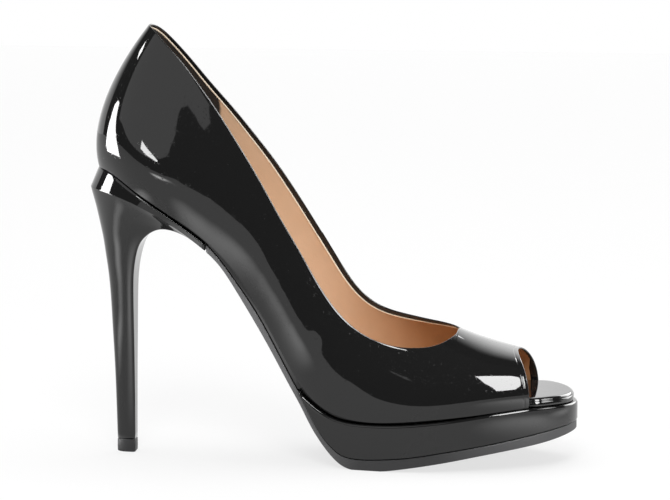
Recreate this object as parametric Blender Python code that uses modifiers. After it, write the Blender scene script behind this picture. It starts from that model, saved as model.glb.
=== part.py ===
"""Peep toe pump, right shoe, standing empty on its heel tip and forefoot.

Frame: toe along +X, medial side +Y, lateral side -Y, floor at Z = 0.
The tables are written in parts of the named sizes, so that a size can be changed alone.
"""
import math

import bmesh
import bpy
import numpy as np

# Named sizes, metres
shoe_length = 0.2146        # back of the heel's rim to the toe tip
ball_width = 0.0782         # widest place of the platform, across the ball
back_height = 0.1881        # floor to the top of the back
wall = 0.0018               # upper with its lining
insole_thickness = 0.0030   # insole board with its cover
outsole_thickness = 0.0046  # under the ball
heel_tip_length = 0.0084
heel_tip_width = 0.0082
top_lift_height = 0.0057
platform_proud = 0.0004     # platform's edge outside the feather line
waist_inset = 0.0016        # outsole's edge inside the feather line, under the arch
edge_round = 0.0007         # rounded edges of platform and outsole
tip_round = 0.0004          # rounded lower edge of the top lift
clearance = 0.0003          # between pieces that meet

# One table part along, across and up
along = shoe_length / 214.6
across = ball_width / 78.2
upward = back_height / 188.1
origin_along = 91.9 * along      # bounding box centre, from the heel tip's centre
origin_across = -1.267 * across
peep_low_lateral = 0.5 * along    # forward bow of the peep's edges, in the wall's lower handle
peep_low_medial = -0.5 * along
peep_high_lateral = 1.8 * along   # and in its upper handle
peep_high_medial = -1.8 * along

# Feather line, where the upper meets the sole, from the back of the heel to the toe tip.
# Columns: distance along, height, lateral half width, medial half width
FEATHER = (
    (-11.8, 127.2, 0.0, 0.0),
    (-5.2, 126.2, 13.4, 13.4),
    (8.0, 118.7, 22.8, 22.3),
    (24.0, 108.9, 26.2, 24.8),
    (40.0, 97.4, 26.8, 24.2),
    (56.0, 79.3, 27.0, 22.6),
    (71.0, 53.5, 28.4, 22.6),
    (84.0, 32.6, 30.8, 24.8),
    (98.0, 23.8, 34.0, 29.0),
    (112.0, 22.0, 37.2, 33.3),
    (126.0, 22.8, 39.5, 36.2),
    (137.0, 23.9, 40.0, 37.3),
    (147.0, 24.9, 39.4, 37.3),
    (158.0, 26.1, 37.4, 35.4),
    (169.0, 27.4, 34.0, 31.6),
    (180.0, 28.4, 29.2, 24.6),
    (188.5, 28.5, 23.4, 18.9),
    (194.6, 28.0, 15.6, 12.6),
    (197.8, 27.7, 8.0, 5.6),
    (198.8, 27.6, 1.2, -1.2),
)
THROAT_ROW = 12
PEEP_ROW = 15
TIP_ROW = 19

# Last's crest line, above the collar a part that is cut away. Same rows as the feather line.
# Columns: distance along, height, half width, rise and bulge of the wall's lower handle,
# drop and width of its upper handle
CREST = (
    (14.5, 194.0, 0.0, 19.7, 10.0, 22.0, 9.3),
    (19.5, 192.0, 8.5, 20.0, 9.3, 21.5, 9.0),
    (30.0, 184.0, 13.0, 21.0, 7.6, 21.5, 8.0),
    (43.0, 171.5, 16.0, 21.0, 6.2, 22.0, 7.8),
    (59.0, 153.5, 18.5, 21.0, 5.8, 22.0, 8.2),
    (75.0, 132.5, 19.5, 21.0, 6.2, 22.0, 9.5),
    (90.0, 111.0, 19.0, 21.0, 7.0, 20.0, 12.0),
    (102.0, 95.5, 16.5, 20.0, 7.2, 17.0, 16.5),
    (113.0, 83.0, 12.0, 18.5, 6.0, 13.0, 21.0),
    (123.0, 73.5, 9.0, 17.5, 4.3, 11.0, 25.0),
    (131.5, 66.3, 6.0, 17.0, 3.0, 9.0, 26.5),
    (139.3, 60.9, 3.0, 17.0, 2.6, 7.0, 26.5),
    (147.0, 56.8, 0.0, 17.0, 3.2, 5.0, 25.5),
    (155.5, 53.3, 0.0, 17.0, 3.6, 4.0, 24.5),
    (164.0, 50.5, 0.0, 16.5, 3.4, 3.0, 23.0),
    (172.7, 48.3, 0.0, 15.5, 3.0, 2.0, 20.5),
)
COLLAR_BLEND_ROWS = 4.0

# Top line seen from the side. Columns: distance along, lateral height, medial height
TOP_LINE = (
    (8.0, 190.4, 191.0),
    (13.3, 188.1, 188.1),
    (19.1, 182.9, 182.2),
    (26.4, 175.9, 173.4),
    (35.6, 164.9, 161.7),
    (44.7, 152.7, 150.9),
    (53.7, 139.2, 139.6),
    (62.6, 124.9, 128.0),
    (71.5, 109.3, 115.0),
    (80.3, 94.6, 101.0),
    (89.1, 79.6, 86.6),
    (97.9, 67.7, 73.2),
    (106.7, 60.0, 64.9),
    (115.4, 55.8, 61.1),
    (124.0, 53.7, 59.4),
    (132.4, 53.3, 58.2),
    (140.5, 54.3, 57.4),
    (147.0, 56.8, 56.8),
    (153.0, 59.5, 56.6),
)

# Columns: distance along, drop of the heel seat and waist below the feather line
SEAT_DROP = ((-12.0, 0.6), (0.0, 1.0), (20.0, 2.0), (30.0, 2.4), (40.0, 2.6))
# Columns: distance along, drop of the platform's upper face below the feather line
PLATFORM_DROP = ((79.0, 5.0), (85.0, 3.2), (94.0, 2.6), (107.0, 2.0), (125.0, 2.1), (142.0, 2.0), (160.0, 1.4),
                 (180.0, 1.2), (200.0, 1.0))
# Outsole from the side. Columns: distance along, height of its lower face, share of its thickness
OUTSOLE = (
    (38.0, 93.6, 0.74),
    (45.0, 86.4, 0.57),
    (52.0, 75.9, 0.76),
    (60.0, 62.7, 1.07),
    (68.0, 48.8, 1.04),
    (76.0, 34.3, 0.94),
    (80.5, 26.4, 0.91),
    (85.0, 18.0, 0.91),
    (89.5, 11.2, 0.80),
    (94.0, 5.8, 0.83),
    (98.4, 2.0, 0.91),
    (103.4, 0.0, 1.04),
    (110.0, -0.3, 1.06),
    (117.5, 0.1, 1.08),
    (125.1, 1.2, 1.00),
    (142.5, 4.2, 0.96),
    (159.6, 7.4, 0.89),
    (176.4, 10.2, 0.93),
    (192.8, 13.2, 0.91),
    (200.0, 14.8, 0.78),
)
platform_start = 79.4 * along
outsole_start = 38.9 * along
rim_front = outsole_start - 0.5 * along
rim_back = -15.4 * along
rim_half = 26.4 * across
rim_line = 26.9 * across   # half width of the seat that the rim follows

# Heel from its tip to the rim. The shares run from the tip's size (0) to the rim's (1).
# Columns: share at the back, height there, share at the front, height there,
# share of the half width, lift of the section's middle, share of the seat's outline
HEEL = (
    (0.000, 0.0, 0.000, 0.0, 0.000, 0.0, 0.0),
    (0.045, 24.0, 0.000, 24.0, 0.018, 0.0, 0.0),
    (0.098, 40.0, 0.000, 40.0, 0.057, 0.0, 0.0),
    (0.165, 54.0, 0.000, 54.0, 0.109, 0.0, 0.0),
    (0.232, 68.0, 0.000, 68.0, 0.162, 0.0, 0.0),
    (0.320, 79.5, 0.009, 79.0, 0.223, 0.0, 0.0),
    (0.420, 87.5, 0.041, 87.0, 0.293, 0.0, 0.1),
    (0.500, 93.8, 0.102, 93.6, 0.380, 0.3, 0.2),
    (0.589, 99.0, 0.216, 98.3, 0.493, 1.0, 0.4),
    (0.696, 104.5, 0.380, 101.2, 0.624, 1.6, 0.6),
    (0.812, 110.0, 0.579, 101.0, 0.755, 2.4, 0.8),
    (0.929, 114.8, 0.795, 98.2, 0.878, 3.6, 0.95),
    (1.000, 118.0, 1.000, 93.6, 1.000, 5.2, 1.0),
)


def spline(knots, values):
    """Natural cubic through table rows, as a function of one number or an array."""
    t = np.asarray(knots, float)
    v = np.asarray(values, float).reshape(len(t), -1)
    n = len(t)
    h = np.diff(t)
    matrix = np.eye(n)
    right = np.zeros_like(v)
    for i in range(1, n - 1):
        matrix[i, i - 1:i + 2] = h[i - 1], 2.0 * (h[i - 1] + h[i]), h[i]
        right[i] = 6.0 * ((v[i + 1] - v[i]) / h[i] - (v[i] - v[i - 1]) / h[i - 1])
    m = np.linalg.solve(matrix, right)

    def value(x):
        x = np.atleast_1d(np.asarray(x, float))
        i = np.clip(np.searchsorted(t, x) - 1, 0, n - 2)
        a = ((t[i + 1] - x) / h[i])[:, None]
        b = 1.0 - a
        square = (h[i] ** 2)[:, None] / 6.0
        out = a * v[i] + b * v[i + 1] + ((a ** 3 - a) * m[i] + (b ** 3 - b) * m[i + 1]) * square
        return out[:, 0] if out.shape[1] == 1 else out

    return value


def feather_spline():
    """Closed line round the sole; rows from -TIP_ROW (toe) over 0 (heel) to TIP_ROW (toe)."""
    rows = []
    for k in range(-TIP_ROW - 4, TIP_ROW + 5):
        j = (k + TIP_ROW) % (2 * TIP_ROW) - TIP_ROW
        x, z, lateral, medial = FEATHER[abs(j)]
        if abs(j) == TIP_ROW:
            y = medial
        else:
            y = medial if j > 0 else -lateral
        rows.append((x * along, y * across, z * upward))
    return spline(range(-TIP_ROW - 4, TIP_ROW + 5), rows)


feather = feather_spline()
sample_u = np.linspace(0.0, TIP_ROW, 1500)
sample_m = feather(sample_u)
sample_l = feather(-sample_u)


def plan_normal(u):
    """Outward direction of the feather line, seen from above."""
    step = 0.001
    d = feather(np.asarray(u) + step) - feather(np.asarray(u) - step)
    n = np.stack([-d[:, 1], d[:, 0]], 1)
    return n / np.linalg.norm(n, axis=1)[:, None]


def crest_spline():
    rows = []
    for k in range(-PEEP_ROW, PEEP_ROW + 1):
        x, z, half, rise, bulge, drop, wide = CREST[abs(k)]
        side = 1.0 if k > 0 else -1.0
        rows.append((x * along, side * half * across, z * upward, rise * upward, bulge * across,
                     drop * upward, wide * across))
    return spline(range(-PEEP_ROW, PEEP_ROW + 1), rows)


crest = crest_spline()


def collar_share(u):
    """1 at the collar, 0 along the vamp, where both halves meet on the crest."""
    t = np.clip((THROAT_ROW - np.abs(u)) / COLLAR_BLEND_ROWS, 0.0, 1.0)
    return t * t * t * (t * (6.0 * t - 15.0) + 10.0)


def column(u):
    """Four handles of the wall's curve from the feather line to the crest."""
    u = np.atleast_1d(np.asarray(u, float))
    foot = feather(u)
    row = crest(u)
    share = collar_share(u)
    out = plan_normal(u)
    side = np.where(u > 0, 1.0, -1.0)
    top = np.stack([row[:, 0], row[:, 1] * share, row[:, 2]], 1)
    lean = top[:, 0] - foot[:, 0]
    low = foot.copy()
    low[:, 0] += 0.2 * lean + out[:, 0] * row[:, 4]
    low[:, 1] += out[:, 1] * row[:, 4]
    low[:, 2] += row[:, 3]
    upper_out = np.stack([out[:, 0] * share, out[:, 1] * share + side * (1.0 - share)], 1)
    upper_out /= np.linalg.norm(upper_out, axis=1)[:, None]
    high = top.copy()
    high[:, 0] += -0.35 * lean * share + upper_out[:, 0] * row[:, 6]
    high[:, 1] += upper_out[:, 1] * row[:, 6]
    high[:, 2] -= row[:, 5] * share
    near_peep = np.clip((np.abs(u) - THROAT_ROW) / (PEEP_ROW - THROAT_ROW), 0.0, 1.0) ** 2
    low[:, 0] += np.where(u < 0, peep_low_lateral, peep_low_medial) * near_peep
    high[:, 0] += np.where(u < 0, peep_high_lateral, peep_high_medial) * near_peep
    return foot, low, high, top


def wall_point(u, t):
    """Outer face of the last: u along the feather line, t from it (0) to the crest (1)."""
    foot, low, high, top = column(u)
    t = np.atleast_1d(np.asarray(t, float))[:, None]
    s = 1.0 - t
    return foot * s ** 3 + low * 3 * s * s * t + high * 3 * s * t * t + top * t ** 3


top_lateral = spline([r[0] * along for r in TOP_LINE], [r[1] * upward for r in TOP_LINE])
top_medial = spline([r[0] * along for r in TOP_LINE], [r[2] * upward for r in TOP_LINE])


def cut_share(u):
    """Where the top line cuts each column."""
    u = np.atleast_1d(np.asarray(u, float))
    out = np.ones(len(u))
    live = np.abs(u) < THROAT_ROW - 1e-6
    low = np.full(len(u), 0.3)
    high = np.ones(len(u))
    for _ in range(40):
        mid = 0.5 * (low + high)
        p = wall_point(u, mid)
        blend = np.clip(u * 2.0 + 0.5, 0.0, 1.0)
        line = top_lateral(p[:, 0]) * (1.0 - blend) + top_medial(p[:, 0]) * blend
        above = p[:, 2] > line
        high = np.where(above, mid, high)
        low = np.where(above, low, mid)
    out[live] = high[live]
    return out


def columns_list(per_row, throat_extra):
    """Column positions with more of them beside the throat."""
    steps = []
    for k in range(PEEP_ROW):
        n = per_row * throat_extra if k == THROAT_ROW - 1 else per_row
        for j in range(n):
            f = j / n
            if k == THROAT_ROW - 1:
                f = 1.0 - (1.0 - f) ** 2
            steps.append(k + f)
    steps.append(float(PEEP_ROW))
    steps = np.array(steps)
    return np.concatenate([-steps[:0:-1], steps])


def link(name, bm, color, roughness):
    mesh = bpy.data.meshes.new(name)
    bm.to_mesh(mesh)
    bm.free()
    obj = bpy.data.objects.new(name, mesh)
    part.objects.link(obj)
    material = bpy.data.materials.new(name + "_material")
    material.use_nodes = True
    shader = material.node_tree.nodes["Principled BSDF"]
    shader.inputs["Base Color"].default_value = (*color, 1.0)
    shader.inputs["Roughness"].default_value = roughness
    mesh.materials.append(material)
    return obj


def shift(points):
    return np.asarray(points) - np.array([origin_along, origin_across, 0.0])


def make_upper():
    us = columns_list(3, 3)
    rows = 11
    cuts = cut_share(us)
    bm = bmesh.new()
    grid = []
    for j in range(rows + 1):
        pts = shift(wall_point(us, cuts * j / rows))
        grid.append([bm.verts.new(p) for p in pts])
    for j in range(rows):
        for i in range(len(us) - 1):
            bm.faces.new((grid[j][i], grid[j][i + 1], grid[j + 1][i + 1], grid[j + 1][i]))
    bmesh.ops.remove_doubles(bm, verts=bm.verts, dist=0.00002)
    bmesh.ops.recalc_face_normals(bm, faces=bm.faces)
    obj = link("upper", bm, (0.012, 0.012, 0.013), 0.08)
    thick = obj.modifiers.new("wall", "SOLIDIFY")
    thick.thickness = wall
    thick.offset = -1.0
    thick.use_quality_normals = True
    return obj


edge_profile = ((edge_round, "lower", 0.0), (0.0, "lower", edge_round), (0.0, "upper", -edge_round),
                (edge_round, "upper", 0.0))


def ring_plate(name, pairs, heights, color, roughness, profile):
    """Closed plate from lateral and medial point pairs.

    pairs: arrays (n, 2) lateral and medial, first and last pair may be one point.
    heights: function of the distance along, giving the lower and upper face.
    profile: rows of inset from the edge, face measured from, step above it.
    """
    lateral, medial = pairs
    n = len(lateral)
    one_start = np.linalg.norm(lateral[0] - medial[0]) < 1e-6
    one_end = np.linalg.norm(lateral[-1] - medial[-1]) < 1e-6
    back = medial[::-1][int(one_end):n - int(one_start)]
    loop = np.concatenate([lateral, back])
    count = len(loop)
    lateral_at = list(range(n))
    medial_at = [(2 * n - 1 - int(one_end) - k) % count for k in range(n)]
    if one_end:
        medial_at[-1] = n - 1
    if one_start:
        medial_at[0] = 0
    tangent = np.roll(loop, -1, 0) - np.roll(loop, 1, 0)
    out = np.stack([-tangent[:, 1], tangent[:, 0]], 1)
    out /= np.linalg.norm(out, axis=1)[:, None]
    out *= np.sign(np.sum(out * (loop - loop.mean(0))))
    bm = bmesh.new()
    rings = []
    for inset, face, step in profile:
        flat = loop - out * inset
        lower, upper = heights(flat[:, 0])
        room = 0.35 * (upper - lower)
        z = (lower if face == "lower" else upper) + np.clip(step, -room, room)
        pts = shift(np.stack([flat[:, 0], flat[:, 1], z], 1))
        rings.append([bm.verts.new(p) for p in pts])
    for a, b in zip(rings[:-1], rings[1:]):
        for i in range(count):
            k = (i + 1) % count
            bm.faces.new((a[i], a[k], b[k], b[i]))
    for ring in (rings[0], rings[-1]):
        for i in range(n - 1):
            corners = [lateral_at[i], lateral_at[i + 1], medial_at[i + 1], medial_at[i]]
            bm.faces.new([ring[c] for c in dict.fromkeys(corners)])
    bmesh.ops.remove_doubles(bm, verts=bm.verts, dist=0.00002)
    bmesh.ops.dissolve_degenerate(bm, dist=0.00001, edges=bm.edges)
    bmesh.ops.recalc_face_normals(bm, faces=bm.faces)
    return link(name, bm, color, roughness)


seat_drop = spline([r[0] * along for r in SEAT_DROP], [r[1] * upward for r in SEAT_DROP])
platform_drop = spline([r[0] * along for r in PLATFORM_DROP], [r[1] * upward for r in PLATFORM_DROP])
outsole_side = spline([r[0] * along for r in OUTSOLE],
                      [(r[1] * upward, r[2] * outsole_thickness) for r in OUTSOLE])


def outsole_low(x):
    return np.maximum(outsole_side(x)[:, 0], 0.0)


def outsole_top(x):
    return outsole_side(x).sum(1)


def feather_z(x):
    """Height of the feather line above a distance along the shoe."""
    return np.interp(x, sample_m[:, 0], sample_m[:, 2])


def slope_factor(x):
    step = 0.5 * along
    m = (feather_z(x + step) - feather_z(x - step)) / (2 * step)
    return np.sqrt(1.0 + m * m)


def seat_z(x):
    """Upper faces that carry the insole: heel seat, outsole waist, platform."""
    x = np.asarray(x, float)
    f = feather_z(x)
    waist = np.where(x < outsole_start, f - seat_drop(x), outsole_top(x))
    front = f - platform_drop(np.maximum(x, platform_start))
    return np.where(x < platform_start, waist, front)


def half_widths(x):
    xs = np.asarray(x, float)
    lateral = np.interp(xs, sample_l[:, 0], sample_l[:, 1])
    medial = np.interp(xs, sample_m[:, 0], sample_m[:, 1])
    return lateral, medial


def feather_pairs(us, offset):
    """Lateral and medial points of the feather line, moved outward by the offset."""
    offset = np.broadcast_to(offset, np.shape(us))[:, None]
    lateral = feather(-us)[:, :2] + plan_normal(-us) * offset
    medial = feather(us)[:, :2] + plan_normal(us) * offset
    return lateral, medial


def row_at(x):
    return float(np.interp(x, sample_m[:, 0], sample_u))


def plate_rows(start, count):
    return np.concatenate([np.linspace(row_at(start), PEEP_ROW, count), np.linspace(PEEP_ROW + 0.4, TIP_ROW, 14)])


def make_insole():
    us = np.concatenate([np.linspace(0.0, PEEP_ROW, 46), [PEEP_ROW + 0.06, PEEP_ROW + 0.25],
                         np.linspace(PEEP_ROW + 0.6, TIP_ROW, 14)])
    inside = -(wall + clearance)
    offset = np.interp(us, [0.0, PEEP_ROW + 0.06, PEEP_ROW + 0.25, PEEP_ROW + 0.6],
                       [inside, inside, -0.0006, -0.0002])

    def heights(x):
        low = seat_z(x) + clearance * slope_factor(x)
        high = feather_z(x) + insole_thickness * slope_factor(x)
        return low, high

    pairs = feather_pairs(us, offset)
    profile = ((0.0004, "lower", 0.0), (0.0, "lower", 0.0006), (0.0, "upper", -0.0008), (0.0006, "upper", 0.0))
    return ring_plate("insole", pairs, heights, (0.015, 0.014, 0.014), 0.12, profile)


def make_platform():
    us = plate_rows(platform_start, 27)

    def heights(x):
        upper = feather_z(x) - platform_drop(np.maximum(x, platform_start))
        return outsole_top(x) + clearance * slope_factor(x), upper

    pairs = feather_pairs(us, platform_proud)
    return ring_plate("platform", pairs, heights, (0.012, 0.012, 0.013), 0.08, edge_profile)


def make_outsole():
    us = plate_rows(outsole_start, 34)
    inset = np.interp(feather(us)[:, 0], [80 * along, 98 * along], [-waist_inset, 0.0])

    def heights(x):
        return outsole_low(x), outsole_top(x)

    pairs = feather_pairs(us, inset)
    return ring_plate("outsole", pairs, heights, (0.02, 0.02, 0.021), 0.35, edge_profile)


def heel_ring(row, n, inset=0.0, seat=False):
    """Half outlines of one heel section, from its back to its front corner."""
    back_share, back_z, front_share, front_z, half_share, lift, seat_share = row
    tip = heel_tip_length / 2
    back_x = -tip + back_share * (rim_back + tip) + inset
    front_x = tip + front_share * (rim_front - tip) - inset
    half = heel_tip_width / 2 + half_share * (rim_half - heel_tip_width / 2) - inset
    phi = np.linspace(0.0, math.pi / 2, n)
    f = 1.0 - np.cos(phi)
    seat_x = FEATHER[0][0] * along + (rim_front - FEATHER[0][0] * along) * f
    lateral, medial = half_widths(seat_x)
    if seat:
        return seat_x, lateral, medial, seat_z(seat_x)
    x = back_x + (front_x - back_x) * f
    z = back_z + (front_z - back_z) * f + lift * upward * 4.0 * f * (1.0 - f)
    y_l = half * ((1.0 - seat_share) * -np.sin(phi) + seat_share * lateral / rim_line)
    y_m = half * ((1.0 - seat_share) * np.sin(phi) + seat_share * medial / rim_line)
    return x, y_l, y_m, z


def at_height(row, low):
    """Heel row with its heights in metres, no lower than the top lift allows."""
    return (row[0], max(row[1] * upward, low), row[2], max(row[3] * upward, low), *row[4:])


def make_heel():
    rings = [heel_ring(at_height(row, top_lift_height + clearance), 15) for row in HEEL]
    rings.append(heel_ring(HEEL[-1], 15, seat=True))
    return ladder("heel", rings, (0.012, 0.012, 0.013), 0.08)


def make_top_lift():
    rings = []
    for height, inset in ((0.0, tip_round), (tip_round, 0.0), (top_lift_height, 0.0)):
        rings.append(heel_ring(at_height(HEEL[0], height), 15, inset))
    return ladder("top_lift", rings, (0.03, 0.03, 0.03), 0.6)


def ladder(name, rings, color, roughness):
    """Solid lofted through D-shaped sections, closed by quads across at both ends."""
    bm = bmesh.new()
    loops = []
    for x, y_l, y_m, z in rings:
        lateral = np.stack([x, y_l, z], 1)
        medial = np.stack([x, y_m, z], 1)[:0:-1]
        loops.append([bm.verts.new(p) for p in shift(np.concatenate([lateral, medial]))])
    count = len(loops[0])
    half = count // 2
    for a, b in zip(loops[:-1], loops[1:]):
        for i in range(count):
            k = (i + 1) % count
            bm.faces.new((a[i], a[k], b[k], b[i]))
    for ring in (loops[0], loops[-1]):
        for i in range(half):
            corners = [i, i + 1, count - 1 - i, (count - i) % count]
            bm.faces.new([ring[c] for c in dict.fromkeys(corners)])
    bmesh.ops.remove_doubles(bm, verts=bm.verts, dist=0.00002)
    bmesh.ops.dissolve_degenerate(bm, dist=0.00001, edges=bm.edges)
    bmesh.ops.recalc_face_normals(bm, faces=bm.faces)
    return link(name, bm, color, roughness)


for old in list(bpy.data.objects):
    bpy.data.objects.remove(old, do_unlink=True)
part = bpy.data.collections.new("peep_toe_pump")
bpy.context.scene.collection.children.link(part)

make_upper()
make_insole()
make_platform()
make_outsole()
make_heel()
make_top_lift()
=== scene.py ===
"""Peep toe pump of black patent leather: skins, lining, sock, covered platform and heel.

Shapes are written in millimetres from the heel tip's centre and moved into the CAD's frame
by lay_grid. u runs along the feather line in its table's rows, lateral below 0 and medial
above; t runs up the wall, from the feather line (0) to the crest (1).
"""

import math

import bmesh
import bpy
import numpy as np
from mathutils import Matrix, Vector


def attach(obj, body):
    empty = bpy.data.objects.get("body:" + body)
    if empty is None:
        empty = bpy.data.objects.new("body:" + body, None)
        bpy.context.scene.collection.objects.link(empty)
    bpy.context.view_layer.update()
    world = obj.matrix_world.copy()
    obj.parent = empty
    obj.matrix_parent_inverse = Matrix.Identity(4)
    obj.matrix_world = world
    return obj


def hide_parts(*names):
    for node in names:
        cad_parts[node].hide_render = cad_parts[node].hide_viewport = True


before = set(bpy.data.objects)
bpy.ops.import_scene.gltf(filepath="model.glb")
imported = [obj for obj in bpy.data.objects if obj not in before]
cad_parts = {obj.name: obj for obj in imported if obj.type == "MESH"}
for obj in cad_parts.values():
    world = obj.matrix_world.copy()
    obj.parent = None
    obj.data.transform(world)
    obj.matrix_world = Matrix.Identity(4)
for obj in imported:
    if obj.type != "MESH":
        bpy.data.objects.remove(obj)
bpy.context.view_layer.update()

MM = 0.001
SHIFT = np.array((91.9, -1.267, 0.0))   # origin of the CAD's frame
# Feather line, where the upper meets the sole, from the back of the heel to the toe tip.
# Columns: distance along, height, lateral half width, medial half width
FEATHER = (
    (-11.8, 127.2, 0.0, 0.0), (-5.2, 126.2, 13.4, 13.4), (8.0, 118.7, 22.8, 22.3),
    (24.0, 108.9, 26.2, 24.8), (40.0, 97.4, 26.8, 24.2), (56.0, 79.3, 27.0, 22.6),
    (71.0, 53.5, 28.4, 22.6), (84.0, 32.6, 30.8, 24.8), (98.0, 23.8, 34.0, 29.0),
    (112.0, 22.0, 37.2, 33.3), (126.0, 22.8, 39.5, 36.2), (137.0, 23.9, 40.0, 37.3),
    (147.0, 24.9, 39.4, 37.3), (158.0, 26.1, 37.4, 35.4), (169.0, 27.4, 34.0, 31.6),
    (180.0, 28.4, 29.2, 24.6), (188.5, 28.5, 23.4, 18.9), (194.6, 28.0, 15.6, 12.6),
    (197.8, 27.7, 8.0, 5.6), (198.8, 27.6, 1.2, -1.2),
)
THROAT_ROW, PEEP_ROW, TIP_ROW = 12, 15, 19
# Last's crest line, in the feather line's rows.
# Columns: distance along, height, half width, rise and bulge of the wall's lower handle,
# drop and width of its upper handle
CREST = (
    (14.5, 194.0, 0.0, 19.7, 10.0, 22.0, 9.3), (19.5, 192.0, 8.5, 20.0, 9.3, 21.5, 9.0),
    (30.0, 184.0, 13.0, 21.0, 7.6, 21.5, 8.0), (43.0, 171.5, 16.0, 21.0, 6.2, 22.0, 7.8),
    (59.0, 153.5, 18.5, 21.0, 5.8, 22.0, 8.2), (75.0, 132.5, 19.5, 21.0, 6.2, 22.0, 9.5),
    (90.0, 111.0, 19.0, 21.0, 7.0, 20.0, 12.0), (102.0, 95.5, 16.5, 20.0, 7.2, 17.0, 16.5),
    (113.0, 83.0, 12.0, 18.5, 6.0, 13.0, 21.0), (123.0, 73.5, 9.0, 17.5, 4.3, 11.0, 25.0),
    (131.5, 66.3, 6.0, 17.0, 3.0, 9.0, 26.5), (139.3, 60.9, 3.0, 17.0, 2.6, 7.0, 26.5),
    (147.0, 56.8, 0.0, 17.0, 3.2, 5.0, 25.5), (155.5, 53.3, 0.0, 17.0, 3.6, 4.0, 24.5),
    (164.0, 50.5, 0.0, 16.5, 3.4, 3.0, 23.0), (172.7, 48.3, 0.0, 15.5, 3.0, 2.0, 20.5),
)
COLLAR_BLEND_ROWS = 4.0
LOW_LEAN, HIGH_LEAN = 0.2, 0.35          # how far the wall's handles follow its lean
PEEP_LOW_BOW, PEEP_HIGH_BOW = 0.5, 1.8   # bow of the peep's edges, in the same handles
# Top line seen from the side. Columns: distance along, lateral height, medial height
TOP_LINE = (
    (8.0, 190.4, 191.0), (13.3, 188.1, 188.1), (19.1, 182.9, 182.2), (26.4, 175.9, 173.4),
    (35.6, 164.9, 161.7), (44.7, 152.7, 150.9), (53.7, 139.2, 139.6), (62.6, 124.9, 128.0),
    (71.5, 109.3, 115.0), (80.3, 94.6, 101.0), (89.1, 79.6, 86.6), (97.9, 67.7, 73.2),
    (106.7, 60.0, 64.9), (115.4, 55.8, 61.1), (124.0, 53.7, 59.4), (132.4, 53.3, 58.2),
    (140.5, 54.3, 57.4), (147.0, 56.8, 56.8), (153.0, 59.5, 56.6),
)
# Drops below the feather line. Columns: distance along, drop
SEAT_DROP = (
    (-12.0, 0.6), (0.0, 1.0), (20.0, 2.0), (30.0, 2.4), (40.0, 2.6),
)
PLATFORM_DROP = (
    (79.0, 5.0), (85.0, 3.2), (94.0, 2.6), (107.0, 2.0), (125.0, 2.1), (142.0, 2.0), (160.0, 1.4),
    (180.0, 1.2), (200.0, 1.0),
)
OUTSOLE_THICKNESS = 4.6
# Outsole from the side.
# Columns: distance along, height of its lower face, share of its thickness
OUTSOLE = (
    (38.0, 93.6, 0.74), (45.0, 86.4, 0.57), (52.0, 75.9, 0.76), (60.0, 62.7, 1.07),
    (68.0, 48.8, 1.04), (76.0, 34.3, 0.94), (80.5, 26.4, 0.91), (85.0, 18.0, 0.91),
    (89.5, 11.2, 0.80), (94.0, 5.8, 0.83), (98.4, 2.0, 0.91), (103.4, 0.0, 1.04),
    (110.0, -0.3, 1.06), (117.5, 0.1, 1.08), (125.1, 1.2, 1.00), (142.5, 4.2, 0.96),
    (159.6, 7.4, 0.89), (176.4, 10.2, 0.93), (192.8, 13.2, 0.91), (200.0, 14.8, 0.78),
)
PLATFORM_START, OUTSOLE_START = 79.4, 38.9
RIM_FRONT, RIM_BACK, RIM_HALF, RIM_LINE = 38.4, -15.4, 26.4, 26.9
TIP_LENGTH, TIP_WIDTH, TOP_LIFT = 8.4, 8.2, 5.7
WALL, INSOLE_THICKNESS, CLEARANCE = 1.8, 3.0, 0.3
PLATFORM_PROUD, WAIST_INSET = 0.4, 1.6   # edges outside and inside the feather line
# Heel from its tip (0) to its rim (1). Columns: share at the back, height there, share at the
# front, height there, share of the half width, lift of the middle, share of the seat's line
HEEL = (
    (0.000, 0.0, 0.000, 0.0, 0.000, 0.0, 0.0), (0.045, 24.0, 0.000, 24.0, 0.018, 0.0, 0.0),
    (0.098, 40.0, 0.000, 40.0, 0.057, 0.0, 0.0), (0.165, 54.0, 0.000, 54.0, 0.109, 0.0, 0.0),
    (0.232, 68.0, 0.000, 68.0, 0.162, 0.0, 0.0), (0.320, 79.5, 0.009, 79.0, 0.223, 0.0, 0.0),
    (0.420, 87.5, 0.041, 87.0, 0.293, 0.0, 0.1), (0.500, 93.8, 0.102, 93.6, 0.380, 0.3, 0.2),
    (0.589, 99.0, 0.216, 98.3, 0.493, 1.0, 0.4), (0.696, 104.5, 0.380, 101.2, 0.624, 1.6, 0.6),
    (0.812, 110.0, 0.579, 101.0, 0.755, 2.4, 0.8), (0.929, 114.8, 0.795, 98.2, 0.878, 3.6, 0.95),
    (1.000, 118.0, 1.000, 93.6, 1.000, 5.2, 1.0),
)


def spline(knots, values):
    """Natural cubic through table rows, as a function of an array."""
    t = np.asarray(knots, float)
    v = np.asarray(values, float).reshape(len(t), -1)
    n = len(t)
    h = np.diff(t)
    matrix = np.eye(n)
    right = np.zeros_like(v)
    for i in range(1, n - 1):
        matrix[i, i - 1:i + 2] = h[i - 1], 2.0 * (h[i - 1] + h[i]), h[i]
        right[i] = 6.0 * ((v[i + 1] - v[i]) / h[i] - (v[i] - v[i - 1]) / h[i - 1])
    m = np.linalg.solve(matrix, right)

    def value(x):
        x = np.atleast_1d(np.asarray(x, float))
        flat = x.ravel()
        i = np.clip(np.searchsorted(t, flat) - 1, 0, n - 2)
        a = ((t[i + 1] - flat) / h[i])[:, None]
        b = 1.0 - a
        square = (h[i] ** 2)[:, None] / 6.0
        out = a * v[i] + b * v[i + 1] + ((a ** 3 - a) * m[i] + (b ** 3 - b) * m[i + 1]) * square
        return out.reshape(x.shape) if v.shape[1] == 1 else out.reshape(*x.shape, v.shape[1])

    return value


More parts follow.
